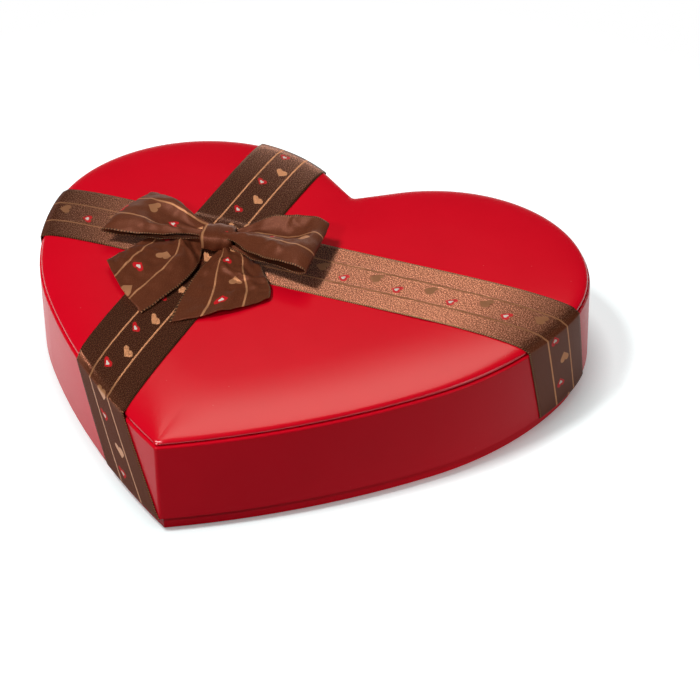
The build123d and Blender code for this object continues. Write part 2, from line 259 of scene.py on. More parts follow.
def half_heart(inset):
    """Right half of the heart from tip to notch, in millimetres, set in from the lid's face."""
    tip_radius = max(TIP_ROUND - inset, TIP_CREASE)
    tip_height = tip_middle(flank_middle, inset, tip_radius)
    tip_turn = math.degrees(math.atan2(tip_height - flank_middle[1], -flank_middle[0]))
    tip_point = np.array((0.0, tip_height))
    notch_point = np.array((0.0, notch_height))
    notch_radius = NOTCH_ROUND + inset
    notch_turn = NOTCH_SLOPE - 90
    tip = arc(tip_point, tip_radius, -90, tip_turn, TIP_POINTS)
    flank = arc(flank_middle, FLANK_RADIUS - inset, tip_turn, -FLANK_START, FLANK_POINTS)
    shoulder = arc(
        shoulder_middle, SHOULDER_RADIUS - inset, -FLANK_START, -SHOULDER_START, SHOULDER_POINTS
    )
    lobe = arc(lobe_middle, LOBE_RADIUS - inset, -SHOULDER_START, lobe_end, LOBE_POINTS)
    notch = arc(notch_point, notch_radius, notch_turn, -90, NOTCH_POINTS)
    line_start = lobe_middle + polar(LOBE_RADIUS - inset, lobe_end)
    line_end = notch_point + polar(notch_radius, notch_turn)
    line = line_start + np.linspace(0, 1, NOTCH_POINTS)[:, None] * (line_end - line_start)
    joined = [stretch[:-1] for stretch in (tip, flank, shoulder, lobe, line)]
    return np.concatenate((*joined, notch))


def whole_heart(inset):
    """The closed outline, from the tip up the right side and back down the left."""
    right = half_heart(inset)
    left = right[-2:0:-1] * np.array((-1.0, 1.0))
    return np.concatenate((right, left))


def stacked_hearts(name, stations):
    """A closed form through hearts, each given by its inset and height, bottom to top."""
    rings = []
    for inset, height in stations:
        outline = whole_heart(inset)
        rings.append(np.column_stack((outline, np.full(len(outline), height))))
    count = len(rings[0])
    faces = [tuple(reversed(range(count)))]
    for level in range(len(rings) - 1):
        low = level * count
        high = low + count
        for place in range(count):
            after = (place + 1) % count
            faces.append((low + place, low + after, high + after, high + place))
    top = (len(rings) - 1) * count
    faces.append(tuple(range(top, top + count)))
    mesh = bpy.data.meshes.new(name)
    mesh.from_pydata(np.concatenate(rings) * MM, [], faces)
    made = bpy.data.objects.new(name, mesh)
    bpy.context.scene.collection.objects.link(made)
    return made


def settle(piece, kind, **settings):
    """Adds one modifier to a piece, selected alone, and applies it."""
    bpy.ops.object.select_all(action="DESELECT")
    piece.select_set(True)
    bpy.context.view_layer.objects.active = piece
    made = piece.modifiers.new(kind.title(), kind)
    for key, value in settings.items():
        setattr(made, key, value)
    bpy.ops.object.modifier_apply(modifier=made.name)


def smooth(piece):
    """Shades all faces of a piece smooth."""
    piece.data.polygons.foreach_set("use_smooth", [True] * len(piece.data.polygons))


def points_of(piece):
    """The points of a mesh in metres, a row for each."""
    points = np.empty(len(piece.data.vertices) * 3)
    piece.data.vertices.foreach_get("co", points)
    return points.reshape(-1, 3)


bulge = CUSHION_LOW + CUSHION_WAIST * (CUSHION_HIGH - CUSHION_LOW)
stations = [(CUSHION_EDGE + inward, CUSHION_LOW + rise) for inward, rise in CUSHION_FOOT]
for degrees in (0, 15, 30, 45, 60, 75, 90):
    turn = math.radians(degrees)
    rise = (CUSHION_HIGH - bulge) * math.sin(turn) ** CUSHION_FULLNESS
    stations.append((CUSHION_EDGE + CUSHION_SPREAD * (1 - math.cos(turn)), bulge + rise))
cushion = stacked_hearts("cushion_quilt", stations)
settle(cushion, "REMESH", mode="VOXEL", voxel_size=CUSHION_VOXEL)
points = points_of(cushion) / MM
upper = np.clip((points[:, 2] - bulge) / (CUSHION_HIGH - bulge), 0, 1)
seam = 0.0
for diagonal in (points[:, 0] + points[:, 1], points[:, 0] - points[:, 1]):
    lane = np.abs(diagonal / math.sqrt(2) / QUILT_STEP % 1 - 0.5) * QUILT_STEP
    seam = seam + np.exp(-((lane / QUILT_WIDTH) ** 2))
points[:, 2] -= upper * QUILT_DEPTH * np.minimum(seam, QUILT_DEEPEST)
cushion.data.vertices.foreach_set("co", (points * MM).ravel())
settle(cushion, "SUBSURF", levels=1, render_levels=1)
smooth(cushion)

crepe, tree, shader = new_finish("cushion_sheet")
fibres = fibres_of(tree, scale=1100.0)
shade = blend_colours(tree, fibres["Fibre"], CREPE_SHADE, CREPE_WHITE)
tree.links.new(shade, shader.inputs["Base Color"])
shader.inputs["Roughness"].default_value = 0.75
roughen(tree, shader, fibres["Fibre"], strength=0.5, depth=0.0003)
cushion.data.materials.append(crepe)
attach(cushion, "base")
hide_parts("cushion_pad")


# Pad on the lid: foam on card under a drawn cover of the same red soft-touch paper, tucked
# under the card all round and glued inside the raised rim, so that a dark groove is left.
PAD_EDGE = 1.0
PAD_LOW = 44.08
PAD_BULGE = 46.26
PAD_TOP = 50.2
PAD_SPREAD = 38.0
PAD_FULLNESS = 0.8
# Width over which the meeting of the two halves is eased: its most, and its share of the inset
RIDGE_ROUND = 18.0
RIDGE_REACH = 1.2
# Insets and heights over the pad's foot: of the edge tucked under the card, set in from the
# lid's face, and of the lip over the groove, set in from the pad's own edge
PAD_TUCK = ((2.25, 0.0), (2.5, 0.15), (2.45, 1.0), (2.0, 1.45))
PAD_LIP = ((0.4, 1.65), (0.08, 1.9))
# Where the foam stands fuller: middle, spread and height
FULLER_FOAM = (((80.0, 22.0), 42.0, 1.1), ((-58.0, -72.0), 22.0, 1.0))

right_line = half_heart(0.0)
left_line = right_line * np.array((-1.0, 1.0))


def line_distance(places, line):
    """How far places on the plan lie from a line of points."""
    starts = line[:-1]
    steps = np.diff(line, axis=0)
    apart = places[:, None, :] - starts[None]
    share = np.clip((apart * steps).sum(-1) / (steps**2).sum(-1), 0, 1)
    return np.linalg.norm(apart - share[..., None] * steps, axis=-1).min(axis=1)


def soft_inset(places):
    """How far places lie in from the lid's outline, eased where its two halves meet."""
    right = line_distance(places, right_line)
    left = line_distance(places, left_line)
    nearer = np.minimum(right, left)
    reach = np.minimum(RIDGE_ROUND, RIDGE_REACH * nearer) + 1e-6
    share = np.clip(1 - np.abs(right - left) / reach, 0, 1)
    return nearer - share**2 * reach / 4


def crown_share(inset):
    """Share of the crown's whole rise, from 0 at the pad's edge to 1 on its flat middle."""
    flatness = np.clip(1 - (np.asarray(inset, float) - PAD_EDGE) / PAD_SPREAD, 0, 1)
    return np.sqrt(1 - flatness**2)


def crown_height(inset):
    """Height of the pad's crown over a place that far in from the lid's outer face."""
    return PAD_BULGE + (PAD_TOP - PAD_BULGE) * crown_share(inset) ** PAD_FULLNESS


def swell(places, inset):
    """What the fuller foam adds to the crown, fading out towards the pad's edge."""
    added = 0.0
    for middle, spread, height in FULLER_FOAM:
        apart = np.linalg.norm(places - np.array(middle), axis=-1)
        added = added + height * np.exp(-((apart / spread) ** 2) / 2)
    return added * crown_share(inset)


stations = [(inset, PAD_LOW + rise) for inset, rise in PAD_TUCK]
stations += [(PAD_EDGE + inward, PAD_LOW + rise) for inward, rise in PAD_LIP]
stations.append((PAD_EDGE, PAD_BULGE))
crown_start = len(stations)
for degrees in (4, 8, 12, 16, 21, 27, 33, 40, 47, 54, 61, 68, 75, 82, 90):
    inset = PAD_EDGE + PAD_SPREAD * (1 - math.cos(math.radians(degrees)))
    stations.append((inset, float(crown_height(inset))))
pad = stacked_hearts("pad_red_cover", stations)
points = points_of(pad)
crown = slice(crown_start * len(whole_heart(0.0)), None)
places = points[crown, :2] / MM
insets = soft_inset(places)
points[crown, 2] = (crown_height(insets) + swell(places, insets)) * MM
pad.data.vertices.foreach_set("co", points.ravel())
smooth(pad)
red_cover = red_finish("red_cover", roughness=0.22, tooth_strength=0.06, gloss=0.5)
pad.data.materials.append(red_cover)
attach(pad, "lid")
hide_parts("pad_cover", "pad_foam")


# Straps: two lengths of brown satin ribbon with a pair of tan pinstripes and small woven
# hearts. Each runs over the pad, creases over the rim, goes down the wall and is folded under
# the lid's lower edge, where its end is glued inside.
RIBBON_WIDTH = 38.0
RIBBON_THICK = 0.36
RIBBON_LIFT = 0.4
CREASE_HEIGHT = 45.7
CREASE_ROUND = 0.7
CREASE_TURN = 62
CROWN_START = 2.3
CROWN_STEPS = (2.6, 3.0, 3.8, 4.5, 5.5, 6.8, 8.4, 10.5, 13.0, 16.0, 20.0, 25.0, 31.0)
TAB_INSET = 2.35
TAB_TOP = 16.8
FOLD_HEIGHT = 7.0
FOLD_BEND = 7.15
FOOT_HEIGHT = 7.5
ACROSS_Y = 23.5
ACROSS_LEAN = 12.0
LENGTHWISE_X = -40.5
NEAR_LEAN = 29.0
FAR_LEAN = -12.5
# How much higher the crease stands at the two edges of a strap
ACROSS_RISE = (0.6, 0.0)
NEAR_RISE = (-0.3, 1.9)
FAR_RISE = (1.2, 0.0)
# Height over the crease from which a row lies on the pad, and the lift over the other strap
ON_PAD = 2.5
CROSSING_RISE = 0.45
CROSSING_RAMP = 2.0
SATIN_BROWN = (0.160, 0.042, 0.0175, 1)
SATIN_DEEP = (0.115, 0.028, 0.011, 1)
SATIN_GLINT = (0.82, 0.36, 0.21, 1)
PIN_TAN = (0.60, 0.262, 0.120, 1)
HEART_RED = (0.66, 0.018, 0.022, 1)
HEART_CREAM = (0.80, 0.72, 0.62, 1)
SELVEDGE_DARK = (0.06, 0.026, 0.014, 1)
PIN_PLACE = 7.2
PIN_HALF_WIDTH = 0.36
THREAD_SOFTNESS = 0.2
SELVEDGE_PLACE = 18.15
STITCH_STEP = 1.1
RIB_STEP = 0.34
PICK_STEP = 0.9
HEART_STEP = 26.0
# Woven hearts: place along, place across and size
HEARTS = {
    "Tan Heart": (4.0, 2.5, 2.8),
    "Red Heart": (17.0, -2.5, 2.4),
    "Cream Heart": (17.0, -2.5, 1.0),
}
# Painted shade: heights under which a strap is made dull and dark, as if in shade, and over which
# it keeps its full sheen and glints; and the share of its lustre that the shaded part keeps
SHADE_PAINTED_BELOW = 0.0450
SHADE_PAINTED_UNTIL = 0.0486
PAINTED_SHADE_LUSTRE = 0.25
# Grain at which a thread is dull, and at which it is bright
GRAIN_DULL = 0.39
GRAIN_BRIGHT = 0.61

# Group: what is woven into the ribbon, worked out from its UV in millimetres
tree, takes, gives = new_group(
    "ribbon_weave",
    (("Run", "NodeSocketVector"),),
    ("Pinstripe", *HEARTS, "Selvedge", "Stitch", "Streak", "Grain", "Height"),
)
weave_group = tree
split = put(tree, "ShaderNodeSeparateXYZ", {"Vector": takes["Run"]})
along = reckon(tree, "MULTIPLY", split.outputs[0], RIBBON_WIDTH)
across = reckon(tree, "MULTIPLY", split.outputs[1], RIBBON_WIDTH)
aside = reckon(tree, "ABSOLUTE", across)


def ramp(tree, value, start, end, low=0.0, high=1.0, **settings):
    """A value taken from one range to another, and held at both ends."""
    sockets = {"Value": value, "From Min": start, "From Max": end, "To Min": low, "To Max": high}
    return put(tree, "ShaderNodeMapRange", sockets, **settings).outputs[0]


def soft_below(value, edge):
    """1 where a value in the weave is under an edge, fading to 0 over a little beyond it."""
    end = edge + THREAD_SOFTNESS
    return ramp(weave_group, value, edge, end, 1.0, 0.0, interpolation_type="SMOOTHSTEP")


def woven_heart(shift_along, shift_across, size):
    """A row of small hearts: two discs joined with a square on its corner, cut off above."""
    tree = weave_group
    moved = reckon(tree, "ADD", along, shift_along)
    repeated = reckon(tree, "FLOORED_MODULO", moved, HEART_STEP)
    local = reckon(tree, "SUBTRACT", repeated, HEART_STEP / 2)
    sideways = reckon(tree, "ABSOLUTE", reckon(tree, "SUBTRACT", across, shift_across))
    diamond = reckon(tree, "ADD", sideways, reckon(tree, "ABSOLUTE", local))
    out = reckon(tree, "SUBTRACT", sideways, 0.55 * size)
    up = reckon(tree, "SUBTRACT", local, 0.45 * size)
    square = reckon(tree, "MULTIPLY_ADD", out, out, reckon(tree, "MULTIPLY", up, up))
    in_diamond = soft_below(diamond, 0.97 * size - THREAD_SOFTNESS / 2)
    in_lower = reckon(tree, "MULTIPLY", in_diamond, soft_below(local, 0.3 * size))
    in_disc = soft_below(reckon(tree, "SQRT", square), 0.6 * size - THREAD_SOFTNESS / 2)
    return reckon(tree, "MAXIMUM", in_lower, in_disc)


def woven_wave(value, step):
    """A wave along or across the ribbon that comes again at each step."""
    return reckon(weave_group, "SINE", reckon(weave_group, "MULTIPLY", value, 2 * math.pi / step))


off_pin = reckon(tree, "ABSOLUTE", reckon(tree, "SUBTRACT", aside, PIN_PLACE))
tree.links.new(soft_below(off_pin, PIN_HALF_WIDTH), gives["Pinstripe"])
for title, heart in HEARTS.items():
    tree.links.new(woven_heart(*heart), gives[title])
in_band = reckon(tree, "SUBTRACT", 1.0, soft_below(aside, SELVEDGE_PLACE))
tree.links.new(in_band, gives["Selvedge"])
ticks = reckon(tree, "GREATER_THAN", woven_wave(along, STITCH_STEP), 0.15)
tree.links.new(reckon(tree, "MULTIPLY", in_band, ticks), gives["Stitch"])
drawn_out = reckon(tree, "MULTIPLY", along, 0.08)
spun = put(tree, "ShaderNodeCombineXYZ", {"X": drawn_out, "Y": across})
sockets = {"Vector": spun.outputs[0], "Scale": 1.3, "Detail": 3.0}
streak = put(tree, "ShaderNodeTexNoise", sockets)
tree.links.new(streak.outputs[0], gives["Streak"])
thread = put(tree, "ShaderNodeCombineXYZ", {"X": along, "Y": across})
sockets = {"Vector": thread.outputs[0], "Scale": 2.0, "Detail": 3.0}
grain = put(tree, "ShaderNodeTexNoise", sockets)
tree.links.new(grain.outputs[0], gives["Grain"])
picks = reckon(tree, "MULTIPLY", woven_wave(along, PICK_STEP), 0.12)
woven = reckon(tree, "MULTIPLY_ADD", woven_wave(across, RIB_STEP), 0.3, picks)
lumpy = reckon(tree, "MULTIPLY_ADD", grain.outputs[0], 1.2, woven)
tree.links.new(lumpy, gives["Height"])


def satin_finish(name, deep, brown, glint, sheen, gloss, dullest, stretch, figure_sheen):
    """Woven satin: dark thread that shines across its run, with a figure that shines along it."""
    made, tree, shader = new_finish(name)
    run_uv = put(tree, "ShaderNodeUVMap", uv_map="ribbon_run")
    weave = put(tree, "ShaderNodeGroup", {"Run": run_uv.outputs[0]}, node_tree=weave_group).outputs
    # Painted shade: the strap's glints and sheen fade out below the rim's height, so that its parts
    # down the walls look shaded
    place = put(tree, "ShaderNodeTexCoord")
    stands = put(tree, "ShaderNodeSeparateXYZ", {"Vector": place.outputs["Object"]})
    free_of_painted_shade = ramp(tree, stands.outputs[2], SHADE_PAINTED_BELOW, SHADE_PAINTED_UNTIL)
    sparkle = ramp(tree, weave["Grain"], GRAIN_DULL, GRAIN_BRIGHT)
    sparkle = reckon(tree, "MULTIPLY", sparkle, free_of_painted_shade)

    # Colour: the thread, then what is woven over it
    body = blend_colours(tree, weave["Streak"], deep, brown)
    body = blend_colours(tree, reckon(tree, "POWER", sparkle, 3.0), body, glint)
    figure = reckon(tree, "MAXIMUM", weave["Pinstripe"], weave["Tan Heart"])
    stitches = reckon(tree, "MULTIPLY", weave["Stitch"], 0.5)
    coloured = blend_colours(tree, figure, body, PIN_TAN)
    coloured = blend_colours(tree, weave["Selvedge"], coloured, SELVEDGE_DARK)
    coloured = blend_colours(tree, stitches, coloured, PIN_TAN)
    coloured = blend_colours(tree, weave["Red Heart"], coloured, HEART_RED)
    coloured = blend_colours(tree, weave["Cream Heart"], coloured, HEART_CREAM)
    tree.links.new(coloured, shader.inputs["Base Color"])

    # Lustre: cut low down to paint the strap's parts down the walls in shade, its own in the
    # figure, none in the red hearts
    lustre = reckon(tree, "MULTIPLY_ADD", sparkle, sheen[1] - sheen[0], sheen[0])
    lustre_kept_under_painted_shade = reckon(tree, "MULTIPLY_ADD", free_of_painted_shade, 1 - PAINTED_SHADE_LUSTRE, PAINTED_SHADE_LUSTRE)
    lustre = reckon(tree, "MULTIPLY", lustre, lustre_kept_under_painted_shade)
    more = reckon(tree, "SUBTRACT", figure_sheen, lustre)
    lustre = reckon(tree, "MULTIPLY_ADD", figure, more, lustre)
    matt = reckon(tree, "SUBTRACT", 1.0, weave["Red Heart"])
    tree.links.new(reckon(tree, "MULTIPLY", lustre, matt), shader.inputs["Metallic"])
    dullness = reckon(tree, "MULTIPLY_ADD", weave["Grain"], 0.10, dullest)
    tree.links.new(dullness, shader.inputs["Roughness"])
    shader.inputs["Specular IOR Level"].default_value = gloss
    shader.inputs["Anisotropic"].default_value = stretch
    shader.inputs["Anisotropic Rotation"].default_value = 0.25

    # Lie of the threads: along the run, but across it in the figure
    lie = put(tree, "ShaderNodeTangent", direction_type="UV_MAP", uv_map="ribbon_run").outputs[0]
    facing = put(tree, "ShaderNodeNewGeometry")
    sockets = {0: facing.outputs["Normal"], 1: lie}
    weft = put(tree, "ShaderNodeVectorMath", sockets, operation="CROSS_PRODUCT").outputs[0]
    turned = put(tree, "ShaderNodeMix", {0: figure, 4: lie, 5: weft}, data_type="VECTOR")
    tree.links.new(turned.outputs[1], shader.inputs["Tangent"])
    roughen(tree, shader, weave["Height"], strength=0.25, depth=0.0001)
    return made


satin = satin_finish(
    "brown_ribbon", SATIN_DEEP, SATIN_BROWN, SATIN_GLINT,
    sheen=(0.42, 0.93), gloss=0.12, dullest=0.39, stretch=1.0, figure_sheen=0.50,
)

columns = np.linspace(-RIBBON_WIDTH / 2, RIBBON_WIDTH / 2, 25)


def side_reach(inset, places_y):
    """X of the right side of the outline at that inset, at given Y."""
    half = half_heart(inset)
    half = half[: half[:, 1].argmax()]
    return np.interp(places_y, half[:, 1], half[:, 0])


def left_reach(inset, places_y):
    """X of the left side of the outline at that inset, at given Y."""
    return -side_reach(inset, places_y)


def near_reach(inset, places_x):
    """Y of the near flanks of the outline at that inset, at given X."""
    half = half_heart(inset)
    half = half[: half[:, 0].argmax()]
    return np.interp(np.abs(places_x), half[:, 0], half[:, 1])


def far_reach(inset, places_x):
    """Y of the far lobes of the outline at that inset, at given X."""
    half = half_heart(inset)
    half = half[half[:, 0].argmax():][::-1]
    return np.interp(np.abs(places_x), half[:, 0], half[:, 1])


def rim_profile():
    """Inset, height and share of the crease's rise, from inside the lid up the wall to the pad."""
    rows = [(TAB_INSET, height, 0) for height in (TAB_TOP, 13.0, 9.5, FOOT_HEIGHT)]
    rows += [(TAB_INSET - 0.12, FOLD_BEND, 0), (TAB_INSET - 0.45, FOLD_HEIGHT, 0)]
    rows += [(1.0, FOLD_HEIGHT, 0), (0.05, FOLD_HEIGHT, 0)]
    rows += [(-0.28, FOLD_BEND, 0), (-RIBBON_LIFT, FOOT_HEIGHT, 0)]
    for share in np.linspace(0.05, 1, 15):
        height = FOOT_HEIGHT + share * (CREASE_HEIGHT - FOOT_HEIGHT)
        rows.append((-RIBBON_LIFT, height, share))
    for degrees in np.linspace(0, CREASE_TURN, 7)[1:]:
        turn = math.radians(degrees)
        inset = -RIBBON_LIFT + CREASE_ROUND * (1 - math.cos(turn))
        rows.append((inset, CREASE_HEIGHT + CREASE_ROUND * math.sin(turn), 1))
    low_inset, low_height = rows[-1][:2]
    high_height = float(crown_height(CROWN_START)) + RIBBON_LIFT
    for share in (0.25, 0.5, 0.75):
        inset = low_inset + share * (CROWN_START - low_inset)
        rows.append((inset, low_height + share * (high_height - low_height), 1 - share))
    for inset in (CROWN_START, *CROWN_STEPS):
        rows.append((inset, float(crown_height(inset)) + RIBBON_LIFT, 0))
    return rows


def strap_rows(reach, centre, lean, rise, across_x):
    """One end of a strap, from its glued tab up to the pad, as rows of points."""
    rows = []
    for inset, height, share in rim_profile():
        shift = max(CREASE_HEIGHT - height, 0) * math.tan(math.radians(lean))
        places = centre + columns + shift
        other = reach(inset, places)
        pair = (other, places) if across_x else (places, other)
        heights = height + share * np.interp(columns, (columns[0], columns[-1]), rise)
        if inset >= CROWN_START:
            heights = heights + swell(np.column_stack(pair), inset)
        rows.append(np.column_stack((*pair, heights)))
    return rows


def strap_middle(first, last, count):
    """Rows between the two ends of a strap, laid on the pad's crown."""
    rows = []
    for share in np.linspace(0, 1, count + 2)[1:-1]:
        row = first + share * (last - first)
        insets = soft_inset(row[:, :2])
        row[:, 2] = crown_height(insets) + swell(row[:, :2], insets) + RIBBON_LIFT
        rows.append(row)
    return rows


def run_length(grid):
    """Length along the middle column of a grid, row by row."""
    middle = grid[:, grid.shape[1] // 2]
    steps = np.linalg.norm(np.diff(middle, axis=0), axis=1)
    return np.concatenate(((0.0,), np.cumsum(steps)))


def lay_ribbon(name, grid, run, over, finish, replaced,
               start=0.0):
    """A ribbon through a grid of points, with a UV of its run and of the places over its width."""
    rows, cols = grid.shape[:2]
    faces = []
    for row in range(rows - 1):
        for col in range(cols - 1):
            first = row * cols + col
            faces.append((first, first + 1, first + cols + 1, first + cols))
    mesh = bpy.data.meshes.new(name)
    mesh.from_pydata(grid.reshape(-1, 3) * MM, [], faces)
    layer = mesh.uv_layers.new(name="ribbon_run")
    flat = np.stack(np.meshgrid(run + start, over, indexing="ij"), axis=-1)
    flat = flat.reshape(-1, 2) / RIBBON_WIDTH
    corners = np.empty(len(mesh.loops), int)
    mesh.loops.foreach_get("vertex_index", corners)
    layer.data.foreach_set("uv", flat[corners].ravel())
    made = bpy.data.objects.new(name, mesh)
    bpy.context.scene.collection.objects.link(made)
    settle(made, "SOLIDIFY", thickness=RIBBON_THICK * MM, offset=0.0)
    smooth(made)
    made.data.materials.append(finish)
    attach(made, "lid")
    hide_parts(replaced)
    return made


left_end = strap_rows(left_reach, ACROSS_Y, ACROSS_LEAN, ACROSS_RISE, across_x=True)
right_end = strap_rows(side_reach, ACROSS_Y, ACROSS_LEAN, ACROSS_RISE, across_x=True)
middle = strap_middle(left_end[-1], right_end[-1], count=40)
grid = np.array(left_end + middle + right_end[::-1])
strap_across = lay_ribbon(
    "strap_across", grid, run_length(grid), columns, satin, "ribbon_across",
)

near_end = strap_rows(near_reach, LENGTHWISE_X, NEAR_LEAN, NEAR_RISE, across_x=False)
far_end = strap_rows(far_reach, LENGTHWISE_X, FAR_LEAN, FAR_RISE, across_x=False)
middle = strap_middle(near_end[-1], far_end[-1], count=70)
grid = np.array(near_end + middle + far_end[::-1])
for row in grid:
    if row[:, 2].min() > CREASE_HEIGHT + ON_PAD:
        apart = np.abs(row[:, 1] - ACROSS_Y) - RIBBON_WIDTH / 2
        share = np.clip(1 - apart / CROSSING_RAMP, 0, 1)
        row[:, 2] += CROSSING_RISE * share * share * (3 - 2 * share)
strap_lengthwise = lay_ribbon(
    "strap_lengthwise", grid, run_length(grid), columns, satin, "ribbon_lengthwise",
)


# Spot of glue that holds the bow on the crossing of the straps: a clear hot-melt bead, pressed
# flat under the knot and out of sight.
GLUE_CLEAR = (0.72, 0.68, 0.60, 1)

clear_glue, tree, shader = new_finish("glue")
shader.inputs["Base Color"].default_value = GLUE_CLEAR
shader.inputs["Transmission Weight"].default_value = 0.5
place = put(tree, "ShaderNodeTexCoord")
bubbles = put(tree, "ShaderNodeTexNoise", {"Vector": place.outputs["Object"], "Scale": 700.0})
clouded = reckon(tree, "MULTIPLY_ADD", bubbles.outputs[0], 0.2, 0.25)
tree.links.new(clouded, shader.inputs["Roughness"])
dress("bow_glue", clear_glue)


# Tails of the bow: the two free ends of the tying ribbon. Each leaves the knot gathered, fans
# out over the strap, and is cut on a slant with its inner edge the longer.
BOW_BROWN = (0.185, 0.0495, 0.0215, 1)
BOW_DEEP = (0.142, 0.0373, 0.0155, 1)
BOW_GLINT = (0.210, 0.064, 0.030, 1)
CONTROL_ACROSS = np.array((-19.0, -7.2, 0.0, 7.2, 19.0))
BOW_COLUMNS = 53
# How far the gathers of a tail reach from the knot, and over what length they begin
TAIL_GATHER = 16.0
TAIL_EASE = 4.0

bow_satin = satin_finish(
    "brown_ribbon_bow", BOW_DEEP, BOW_BROWN, BOW_GLINT,
    sheen=(0.15, 0.24), gloss=0.12, dullest=0.42, stretch=0.6, figure_sheen=0.35,
)


def bend_through(points, places, wanted):
    """Smooth curves through rows of points: natural cubic splines along the first axis."""
    points = np.asarray(points, float)
    flat = points.reshape(len(points), -1)
    gaps = np.diff(places)
    matrix = np.zeros((len(places), len(places)))
    matrix[0, 0] = matrix[-1, -1] = 1.0
    right_side = np.zeros_like(flat)
    for row in range(1, len(places) - 1):
        matrix[row, row - 1] = gaps[row - 1]
        matrix[row, row] = 2 * (gaps[row - 1] + gaps[row])
        matrix[row, row + 1] = gaps[row]
        after = (flat[row + 1] - flat[row]) / gaps[row]
        before = (flat[row] - flat[row - 1]) / gaps[row - 1]
        right_side[row] = 6 * (after - before)
    second = np.linalg.solve(matrix, right_side)
    span = np.clip(np.searchsorted(places, wanted, side="right") - 1, 0, len(gaps) - 1)
    step = gaps[span][:, None]
    low = (np.asarray(places)[span + 1] - wanted)[:, None]
    high = (wanted - np.asarray(places)[span])[:, None]
    made = (second[span] * low**3 + second[span + 1] * high**3) / (6 * step)
    made += (flat[span] / step - second[span] * step / 6) * low
    made += (flat[span + 1] / step - second[span + 1] * step / 6) * high
    return made.reshape((len(wanted),) + points.shape[1:])


def ribbon_surface(sections, rows):
    """A fine grid of points through a few cross-sections of five points each."""
    sections = np.asarray(sections, float)
    chords = run_length(sections)
    fine = np.linspace(0, chords[-1], rows)
    lines = bend_through(sections, chords, fine)
    over = np.linspace(CONTROL_ACROSS[0], CONTROL_ACROSS[-1], BOW_COLUMNS)
    grid = bend_through(lines.transpose(1, 0, 2), CONTROL_ACROSS, over).transpose(1, 0, 2)
    return grid, fine, over


def pleat(grid, share, over, depth, count, phase):
    """Gathers that run out from the knot, deepest there and gone further along."""
    ripple = np.cos(over[None] / RIBBON_WIDTH * 2 * math.pi * count + phase)
    grid[..., 2] += depth * share[:, None] * ripple


left_tail_sections = (
    ((-49.0, 26.0, 52.8), (-47.0, 25.0, 53.6), (-45.0, 23.5, 54.0),
     (-43.0, 22.0, 53.6), (-41.0, 20.5, 52.8)),
    ((-65.2, 18.5, 52.4), (-61.0, 18.6, 53.9), (-56.5, 18.8, 54.4),
     (-51.8, 18.0, 54.8), (-42.3, 15.9, 52.8)),
    ((-71.5, 8.6, 52.4), (-65.3, 5.7, 54.8), (-56.8, 2.9, 55.0),
     (-48.5, 2.4, 57.0), (-38.2, 3.1, 52.9)),
    ((-74.6, -0.6, 52.8), (-66.8, -6.0, 54.8), (-57.8, -11.5, 54.2),
     (-50.2, -12.6, 55.4), (-39.3, -15.0, 52.4)),
    ((-77.0, -10.7, 54.0), (-68.1, -20.2, 53.4), (-61.4, -26.5, 52.9),
     (-55.0, -31.8, 52.5), (-45.3, -38.9, 51.8)),
)
right_tail_sections = (
    ((-36.0, 20.0, 53.2), (-35.0, 19.8, 54.0), (-34.0, 19.6, 54.4),
     (-33.0, 19.8, 54.0), (-31.0, 20.5, 53.2)),
    ((-34.5, 16.6, 53.0), (-31.1, 14.8, 55.4), (-27.2, 14.4, 55.9),
     (-23.0, 15.0, 55.4), (-18.5, 18.2, 53.4)),
    ((-35.7, 7.9, 52.5), (-28.0, 3.8, 55.6), (-22.1, 3.6, 56.2),
     (-16.5, 4.0, 56.4), (-10.4, 11.0, 53.4)),
    ((-36.1, -3.9, 52.3), (-24.3, -7.6, 54.8), (-17.7, -6.0, 54.4),
     (-11.4, -3.6, 54.4), (-3.8, 3.2, 53.0)),
    ((-34.4, -21.1, 52.1), (-20.9, -19.8, 53.6), (-13.8, -16.3, 54.2),
     (-8.0, -10.2, 53.6), (0.2, -2.3, 52.6)),
    ((-30.9, -40.2, 51.8), (-19.6, -31.2, 52.3), (-12.3, -25.0, 52.8),
     (-5.8, -18.2, 52.6), (2.2, -7.5, 52.6)),
)
# Creases pressed into each tail: two ends as run and place across, height and width
tail_creases = {
    "left": (
        (20.0, 8.0, 27.0, 16.5, 1.2, 1.5),
        (20.0, 7.5, 10.0, -3.0, 1.0, 1.6),
        (21.0, 8.5, 38.0, 10.5, 0.8, 2.0),
        (14.0, 12.0, 20.0, 16.0, -1.1, 2.6),
        (27.0, -4.0, 44.0, -1.0, 0.6, 2.6),
        (16.0, 1.0, 30.0, -12.0, -0.7, 3.0),
    ),
    "right": (
        (22.0, -5.0, 27.0, 5.0, 1.1, 1.6),
        (27.0, 5.0, 30.0, 17.0, 1.0, 1.8),
        (18.0, -8.0, 28.0, -14.0, 1.0, 1.6),
        (28.0, 8.0, 40.0, 13.0, 0.8, 1.8),
        (24.0, 12.0, 17.0, 7.0, -1.2, 3.0),
        (30.0, -10.0, 46.0, -6.0, -0.7, 3.2),
        (34.0, 4.0, 50.0, -1.0, 0.6, 2.4),
    ),
}


def crumple(grid, fine, over, creases, unrest):
    """Soft dents all over a ribbon and the creases given for it."""
    run = fine[:, None]
    place = over[None]
    broad = np.sin(run * 0.52 + 0.21 * place + 0.8) * np.sin(place * 0.43 - 0.11 * run + 1.9)
    small = 0.6 * np.sin(run * 0.83 - 0.37 * place + 2.6) * np.sin(place * 0.71 + 0.29 * run)
    lift = unrest * (broad + small)
    for run_a, place_a, run_b, place_b, height, width in creases:
        step = np.array((run_b - run_a, place_b - place_a))
        share = ((run - run_a) * step[0] + (place - place_a) * step[1]) / (step @ step)
        near = np.clip(share, 0, 1)
        apart = np.hypot(run - run_a - near * step[0], place - place_a - near * step[1])
        lift = lift + height * np.exp(-((apart / width) ** 2))
    grid[..., 2] += lift


